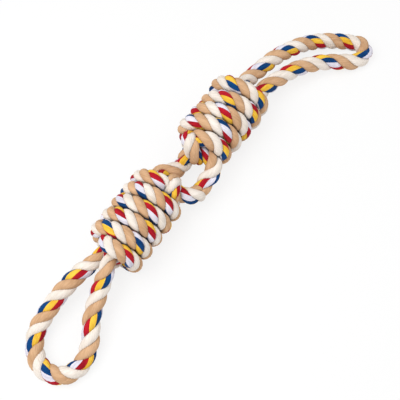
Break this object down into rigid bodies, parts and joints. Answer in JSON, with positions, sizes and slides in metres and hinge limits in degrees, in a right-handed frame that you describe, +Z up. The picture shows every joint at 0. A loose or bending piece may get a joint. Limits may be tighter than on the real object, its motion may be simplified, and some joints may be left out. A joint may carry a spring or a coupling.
{
  "type": "rope dog toy",
  "caption": "Rope tug toy for a large dog: thick laid rope with a handle loop at each end and two coil knots joined by short runs of rope.",
  "frame": {"origin": "middle of the toy's outline on the floor that it lies on", "axes": "+X along the toy's length towards the handle loop that is further away in the picture, +Z up off the floor, +Y to the left of +X"},
  "size_m": [0.5632, 0.1242, 0.0694],
  "materials": {
    "cotton_rope": "matte",
    "binding_thread": "matte"
  },
  "bodies": {
    "lower_handle": {"lower_handle_loop": "cotton_rope"},
    "lower_knot": {"lower_handle_eye": "cotton_rope", "lower_handle_end": "cotton_rope", "lower_handle_binding": "binding_thread", "lower_run_in": "cotton_rope", "lower_wraps": "cotton_rope", "lower_wrap_binding": "binding_thread"},
    "upper_knot": {"upper_handle_eye": "cotton_rope", "upper_handle_end": "cotton_rope", "upper_handle_binding": "binding_thread", "upper_run_in": "cotton_rope", "upper_wraps": "cotton_rope", "upper_wrap_binding": "binding_thread"},
    "upper_handle": {"upper_handle_loop": "cotton_rope"}
  },
  "joints": [
    {"name": "lower_handle_bend", "type": "hinge", "parent": "lower_knot", "child": "lower_handle", "pos_m": [-0.17372, 0.02379, 0.029], "axis": [0, 1, 0], "range_deg": [-45, 45]},
    {"name": "middle_bend", "type": "hinge", "parent": "lower_knot", "child": "upper_knot", "pos_m": [-0.01372, 0.01424, 0.024], "axis": [0, 1, 0], "range_deg": [-35, 45]},
    {"name": "upper_handle_bend", "type": "hinge", "parent": "upper_knot", "child": "upper_handle", "pos_m": [0.13828, 0.02429, 0.029], "axis": [0, 1, 0], "range_deg": [-35, 45]}
  ]
}
